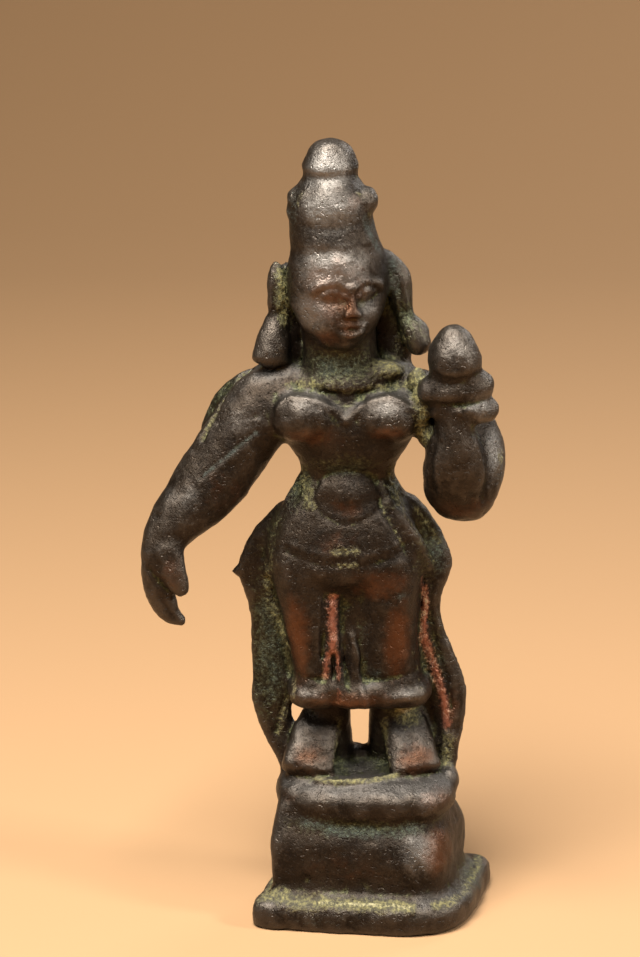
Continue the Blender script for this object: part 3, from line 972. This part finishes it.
# %% Crust on the back
crust_stains += [
    streak(BACK_GIRDLE, 0.7, 0.75, facing=1),
    streak([(-9.6, 75.4), (-4.6, 74.2), (0.6, 75.4)], 0.8, 0.8, facing=1),
    streak([(-3.7, 69.0), (-3.6, 62.0)], 0.6, 0.65, facing=1),
    streak([(-9.8, 32.4), (-2.2, 31.6), (6.4, 32.4)], 0.7, 0.75, facing=1),
    streak([(-9.8, 10.9, 4.1), (0.0, 10.2, 4.1), (12.0, 9.0, 4.1)], 1.0, 0.9),
]
layers["yellow"] = np.max(crust_stains, axis=0)
print("crust", round(float(layers["yellow"].mean()), 3))

# %% Soot in the deepest corners
layers["soot"] = np.max([
    zone((-10.7, 4.0, 76.6), (1.4, 3.0, 3.2), 1.0), zone((1.6, 4.6, 78.0), (2.4, 2.6, 3.4), 1.0),
    zone((-2.2, 4.0, 23.0), (3.0, 3.2, 4.0), 1.0), zone((-2.0, 1.5, 27.5), (8.0, 3.0, 1.4), 0.8),
    zone((6.6, 0.5, 63.5), (1.2, 3.0, 4.0), 0.7), zone((7.2, 3.4, 26.5), (1.6, 1.6, 3.5), 0.9),
    zone((-14.6, 2.5, 46.5), (2.6, 2.5, 4.5), 0.5), zone((-5.5, -2.0, 34.6), (0.5, 1.4, 1.5), 1.0),
], axis=0)
print("strongest", {name: round(float(values.max()), 2) for name, values in layers.items()})

# %% [markdown]
# ## Crust in relief
# The olive and cream crust is what is left of the mould, and it lies on the metal as a thin, crumbly layer. A colour
# alone would look painted on. So the skin is raised where the crust lies, by a height that short waves make uneven.

# %% Crust stands proud of the metal
CRUST_HEIGHT, CRUMB_SIZE = 0.16, 0.9
crust_grain = np.clip(0.5 + waves(CRUMB_SIZE, 0.5, 20), 0, 1)
points = points + normals_of(points) * (CRUST_HEIGHT * np.clip(layers["yellow"], 0, 1) * crust_grain)[:, None]
print("crust up to", CRUST_HEIGHT, "mm high")

# %% [markdown]
# ## The finished mesh
# The skin goes back into metres with its stain layers as attributes. It is then thinned out where it is flat, so
# that the small squares are kept for the carving, and stays under two hundred thousand triangles.

# %% Write the skin back and thin it
MM, PER_METRE = 0.001, 1000
TRIANGLE_SHARE, BOX_MARGIN = 0.66, 0.01

points[:, 2] = np.maximum(points[:, 2], 0)
low, high = (np.array(corner) * PER_METRE for corner in cad_box)
points = np.clip(points, low + BOX_MARGIN, high - BOX_MARGIN)
skin.vertices.foreach_set("co", (points * MM).astype(np.float32).ravel())
for name, values in layers.items():
    skin.attributes.new(name, "FLOAT", "POINT").data.foreach_set("value", values.astype(np.float32))
skin = through_modifier(skin, "DECIMATE", ratio=TRIANGLE_SHARE)
skin.polygons.foreach_set("use_smooth", np.ones(len(skin.polygons), bool))
skin.update()
skin.name = "cast_figure"
figure = bpy.data.objects.new("cast_figure", skin)
bpy.context.scene.collection.objects.link(figure)
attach(figure, "root")
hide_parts("figure_with_plinth")
skin.calc_loop_triangles()
print("finished skin", len(skin.loop_triangles), "triangles, layers", [a.name for a in skin.attributes][:12])

# %% [markdown]
# ## Patinated bronze
# One shader holds the whole surface, as one skin of metal carries all its stains. The dark brown ground is mottled
# by noise at several scales. Upward and worn faces turn grey-brown, the most handled ones shine silver-grey, and
# others turn copper red. Over the metal lie the dull stains: moss-green dirt in the hollows, blue-green verdigris,
# soot in the deepest corners, rose-coloured streaks of bare copper, the olive and cream crust, and a few pale
# specks. Every layer's edge is broken up by noise, because stains are ragged.

# %% Links, noise and stain layers
bronze = bpy.data.materials.new("patinated_bronze")
bronze.use_nodes = True
tree = bronze.node_tree
shader = tree.nodes["Principled BSDF"]
position = tree.nodes.new("ShaderNodeTexCoord").outputs["Object"]


def feed(socket, value):
    """Link a socket to another one, or set it to a plain value."""
    if isinstance(value, bpy.types.NodeSocket):
        tree.links.new(value, socket)
    else:
        socket.default_value = value


def noise(size_mm, detail=3.0, rough=0.55):
    """Noise whose features are about the given size in millimetres."""
    node = tree.nodes.new("ShaderNodeTexNoise")
    feed(node.inputs["Vector"], position)
    node.inputs["Scale"].default_value = PER_METRE / size_mm
    node.inputs["Detail"].default_value = detail
    node.inputs["Roughness"].default_value = rough
    return node.outputs["Fac"]


def stain(name):
    """A stain layer of the mesh."""
    node = tree.nodes.new("ShaderNodeAttribute")
    node.attribute_name = name
    return node.outputs["Fac"]


# %% Arithmetic, ramps, blends and ragged edges
def calc(operation, a, b=0.0):
    """One step of arithmetic."""
    node = tree.nodes.new("ShaderNodeMath")
    node.operation = operation
    feed(node.inputs[0], a)
    feed(node.inputs[1], b)
    return node.outputs[0]


def ramp(value, low, high, top=1.0):
    """Smooth step of a value from low to high, up to top."""
    node = tree.nodes.new("ShaderNodeMapRange")
    node.interpolation_type = "SMOOTHSTEP"
    feed(node.inputs["Value"], value)
    node.inputs["From Min"].default_value = low
    node.inputs["From Max"].default_value = high
    node.inputs["To Max"].default_value = top
    return node.outputs["Result"]


def blend(below, above, share):
    """Mix two colours."""
    node = tree.nodes.new("ShaderNodeMix")
    node.data_type = "RGBA"
    feed(node.inputs["Factor"], share)
    feed(node.inputs["A"], below)
    feed(node.inputs["B"], above)
    return node.outputs["Result"]


def ragged(name, grain, spread, low, high, top=1.0):
    """A layer with a broken edge: smooth step of layer + spread * (noise - 0.5)."""
    shift = calc("MULTIPLY", calc("SUBTRACT", grain, 0.5), spread)
    return ramp(calc("ADD", stain(name), shift), low, high, top)


# %% Noises, from coarse mottling to specks
coarse, middle, fine_grain, speck = noise(5.0), noise(1.3, 4.0), noise(0.5, 4.0, 0.75), noise(0.22, 3.0, 0.7)
cloud = noise(2.2, 6.0, 0.72)
broken = calc("MULTIPLY", calc("ADD", fine_grain, cloud), 0.5)
print("noises", len(tree.nodes))

# %% Brown ground
DEEP_BROWN, WARM_BROWN = (0.012, 0.008, 0.005, 1), (0.028, 0.019, 0.012, 1)
BROWN_GRAIN, BLACK_GRAIN = (0.046, 0.034, 0.022, 1), (0.004, 0.003, 0.002, 1)
ground = blend(DEEP_BROWN, WARM_BROWN, ramp(coarse, 0.35, 0.68))
ground = blend(ground, BROWN_GRAIN, ramp(fine_grain, 0.44, 0.72, 0.5))
ground = blend(ground, BLACK_GRAIN, ramp(speck, 0.50, 0.34, 0.6))
print("nodes with the ground", len(tree.nodes))

# %% Worn metal
SKY_GREY, WORN_BROWN = (0.104, 0.095, 0.084, 1), (0.076, 0.061, 0.047, 1)
HANDLED_GREY, COPPER_RED = (0.225, 0.205, 0.180, 1), (0.120, 0.042, 0.014, 1)
colour = blend(ground, SKY_GREY, ragged("upward", broken, 1.1, 0.40, 1.25, 0.65))
colour = blend(colour, WORN_BROWN, ragged("worn", broken, 1.1, 0.30, 1.1, 0.6))
colour = blend(colour, HANDLED_GREY, ragged("polished", broken, 1.2, 0.25, 1.15, 0.75))
colour = blend(colour, COPPER_RED, ragged("copper", cloud, 1.1, 0.25, 1.05, 0.65))
print("nodes with the worn metal", len(tree.nodes))

# %% Dirt, verdigris, soot and bare copper
DARK_MOSS, MOSS, PALE_MOSS = (0.016, 0.018, 0.008, 1), (0.085, 0.086, 0.036, 1), (0.240, 0.240, 0.150, 1)
DARK_VERDIGRIS, VERDIGRIS = (0.016, 0.023, 0.017, 1), (0.095, 0.150, 0.120, 1)
SOOT, ROSE, PALE_ROSE = (0.012, 0.007, 0.004, 1), (0.280, 0.105, 0.065, 1), (0.520, 0.330, 0.230, 1)
moss = blend(DARK_MOSS, MOSS, ramp(fine_grain, 0.42, 0.66))
moss = blend(moss, PALE_MOSS, ramp(speck, 0.62, 0.74, 0.7))
colour = blend(colour, moss, ragged("crevice", broken, 1.6, 0.20, 0.85, 0.8))
verdigris = blend(DARK_VERDIGRIS, VERDIGRIS, ramp(speck, 0.52, 0.68))
colour = blend(colour, verdigris, ragged("green", broken, 2.4, 0.50, 1.25, 0.62))
colour = blend(colour, SOOT, ragged("soot", middle, 0.4, 0.2, 0.75, 0.9))
rose = blend(ROSE, PALE_ROSE, ramp(broken, 0.50, 0.64))
colour = blend(colour, rose, ragged("pink", fine_grain, 1.9, 0.30, 1.0, 0.8))
print("nodes with the stains", len(tree.nodes))

# %% Crust and pale specks
DARK_OLIVE, OLIVE, CREAM = (0.052, 0.046, 0.012, 1), (0.195, 0.168, 0.056, 1), (0.600, 0.525, 0.320, 1)
PALE_SPECK = (0.360, 0.350, 0.290, 1)
pale = calc("ADD", calc("MULTIPLY", stain("yellow"), 0.8), broken)
olive = blend(DARK_OLIVE, OLIVE, ramp(fine_grain, 0.40, 0.64))
olive = blend(olive, CREAM, ramp(pale, 1.30, 1.70))
crusted = calc("MAXIMUM", ragged("yellow", broken, 2.6, 0.34, 1.25, 0.85),
               ragged("crevice", broken, 2.8, 1.05, 1.8, 0.55))
colour = blend(colour, olive, crusted)
specks = calc("MULTIPLY", ramp(noise(0.4, 2.0), 0.68, 0.76), ramp(cloud, 0.45, 0.62, 0.25))
colour = blend(colour, PALE_SPECK, specks)
feed(shader.inputs["Base Color"], colour)
print("nodes with the crust", len(tree.nodes))

# %% Metal and shine, both lost under dull crust
METAL_SHARE, DULLING = 0.85, 0.4
BASE_ROUGHNESS, GRAIN_ROUGHNESS, WORN_SMOOTHNESS = 0.32, 0.28, 0.08
dusty = calc("MAXIMUM", crusted, ragged("green", broken, 2.4, 0.55, 1.3, 0.5))
feed(shader.inputs["Metallic"], calc("MULTIPLY", calc("SUBTRACT", 1.0, dusty), METAL_SHARE))
dullness = calc("ADD", BASE_ROUGHNESS, calc("MULTIPLY", fine_grain, GRAIN_ROUGHNESS))
dullness = calc("SUBTRACT", dullness, calc("MULTIPLY", stain("worn"), WORN_SMOOTHNESS))
feed(shader.inputs["Roughness"], calc("ADD", dullness, calc("MULTIPLY", dusty, DULLING)))
print("nodes with the shine", len(tree.nodes))

# %% Grain and pores
GRAIN_STRENGTH, GRAIN_HEIGHT = 0.6, 0.16 * MM
grain = calc("ADD", calc("MULTIPLY", speck, 0.7), fine_grain)
grain = calc("ADD", grain, calc("MULTIPLY", calc("MULTIPLY", dusty, speck), 1.5))
pores = ramp(noise(0.6, 1.0), 0.28, 0.38, 0.8)
bump = tree.nodes.new("ShaderNodeBump")
bump.inputs["Strength"].default_value = GRAIN_STRENGTH
bump.inputs["Distance"].default_value = GRAIN_HEIGHT
feed(bump.inputs["Height"], calc("ADD", grain, pores))
feed(shader.inputs["Normal"], bump.outputs["Normal"])
skin.materials.clear()
skin.materials.append(bronze)
print("patina nodes", len(tree.nodes))

# %% [markdown]
# ## Studio
# The figure stands on a plain pale floor that sweeps up behind it, so no horizon shows. One large soft light hangs
# above, so that upward faces shine grey and undersides stay dark and warm. Smaller ones on the right and the left
# draw a line of light along the edges, and one behind keeps the back from going black.

# %% Profile of the floor
FLOOR_HALF_WIDTH, FLOOR_FRONT, SWEEP_START, SWEEP_RADIUS, SWEEP_TOP = 1.6, -1.2, 0.40, 0.50, 1.6
turn = np.linspace(0, np.pi / 2, 17)
sweep = np.stack([SWEEP_START + SWEEP_RADIUS * np.sin(turn), SWEEP_RADIUS * (1 - np.cos(turn))], -1)
profile = np.vstack([[FLOOR_FRONT, 0.0], sweep, [SWEEP_START + SWEEP_RADIUS, SWEEP_TOP]])
print("floor profile points", len(profile))

# %% Floor
floor_points = np.vstack([np.column_stack([np.full(len(profile), side * FLOOR_HALF_WIDTH), profile])
                          for side in (-1, 1)])
first = np.arange(len(profile) - 1)
floor_faces = np.stack([first, first + len(profile), first + len(profile) + 1, first + 1], -1)
floor_mesh = bpy.data.meshes.new("floor")
floor_mesh.from_pydata(floor_points.tolist(), [], floor_faces.tolist())
floor_mesh.polygons.foreach_set("use_smooth", np.ones(len(floor_faces), bool))
floor = bpy.data.objects.new("floor", floor_mesh)
bpy.context.scene.collection.objects.link(floor)
print("floor faces", len(floor_faces))

# %% Colour of the floor
FLOOR_SAND, FLOOR_ROUGHNESS = (0.310, 0.178, 0.082, 1), 0.7
floor_material = bpy.data.materials.new("pale_floor")
floor_material.use_nodes = True
floor_shader = floor_material.node_tree.nodes["Principled BSDF"]
floor_shader.inputs["Base Color"].default_value = FLOOR_SAND
floor_shader.inputs["Roughness"].default_value = FLOOR_ROUGHNESS
floor_mesh.materials.append(floor_material)
print("floor colour", FLOOR_SAND)

# %% Air of the room
ROOM_LIGHT, ROOM_STRENGTH = (1.0, 0.80, 0.58, 1), 0.05
world = bpy.data.worlds.new("studio")
world.use_nodes = True
world.node_tree.nodes["Background"].inputs["Color"].default_value = ROOM_LIGHT
world.node_tree.nodes["Background"].inputs["Strength"].default_value = ROOM_STRENGTH
bpy.context.scene.world = world
bpy.context.scene.view_settings.view_transform = "Standard"
print("room light", ROOM_STRENGTH)


# %% Soft lights
def soft_light(name, place, size, power, colour=(1, 0.98, 0.95)):
    """A square area light that looks at the middle of the figure."""
    data = bpy.data.lights.new(name, "AREA")
    data.size = size
    data.energy = power
    data.color = colour
    lamp = bpy.data.objects.new(name, data)
    lamp.location = place
    away = np.array(place) - LOOK_AT
    lamp.rotation_euler = (np.arctan2(np.hypot(away[0], away[1]), away[2]), 0, np.arctan2(away[0], -away[1]))
    bpy.context.scene.collection.objects.link(lamp)
    print(name, "light, watts", power)


soft_light("top", place=(-0.09, -0.15, 0.42), size=0.24, power=7.2)
soft_light("right", place=(0.38, -0.14, 0.26), size=0.08, power=2.0)
soft_light("left", place=(-0.45, -0.25, 0.22), size=0.12, power=0.6)
soft_light("back", place=(0.52, 0.60, 0.45), size=0.30, power=2.8)
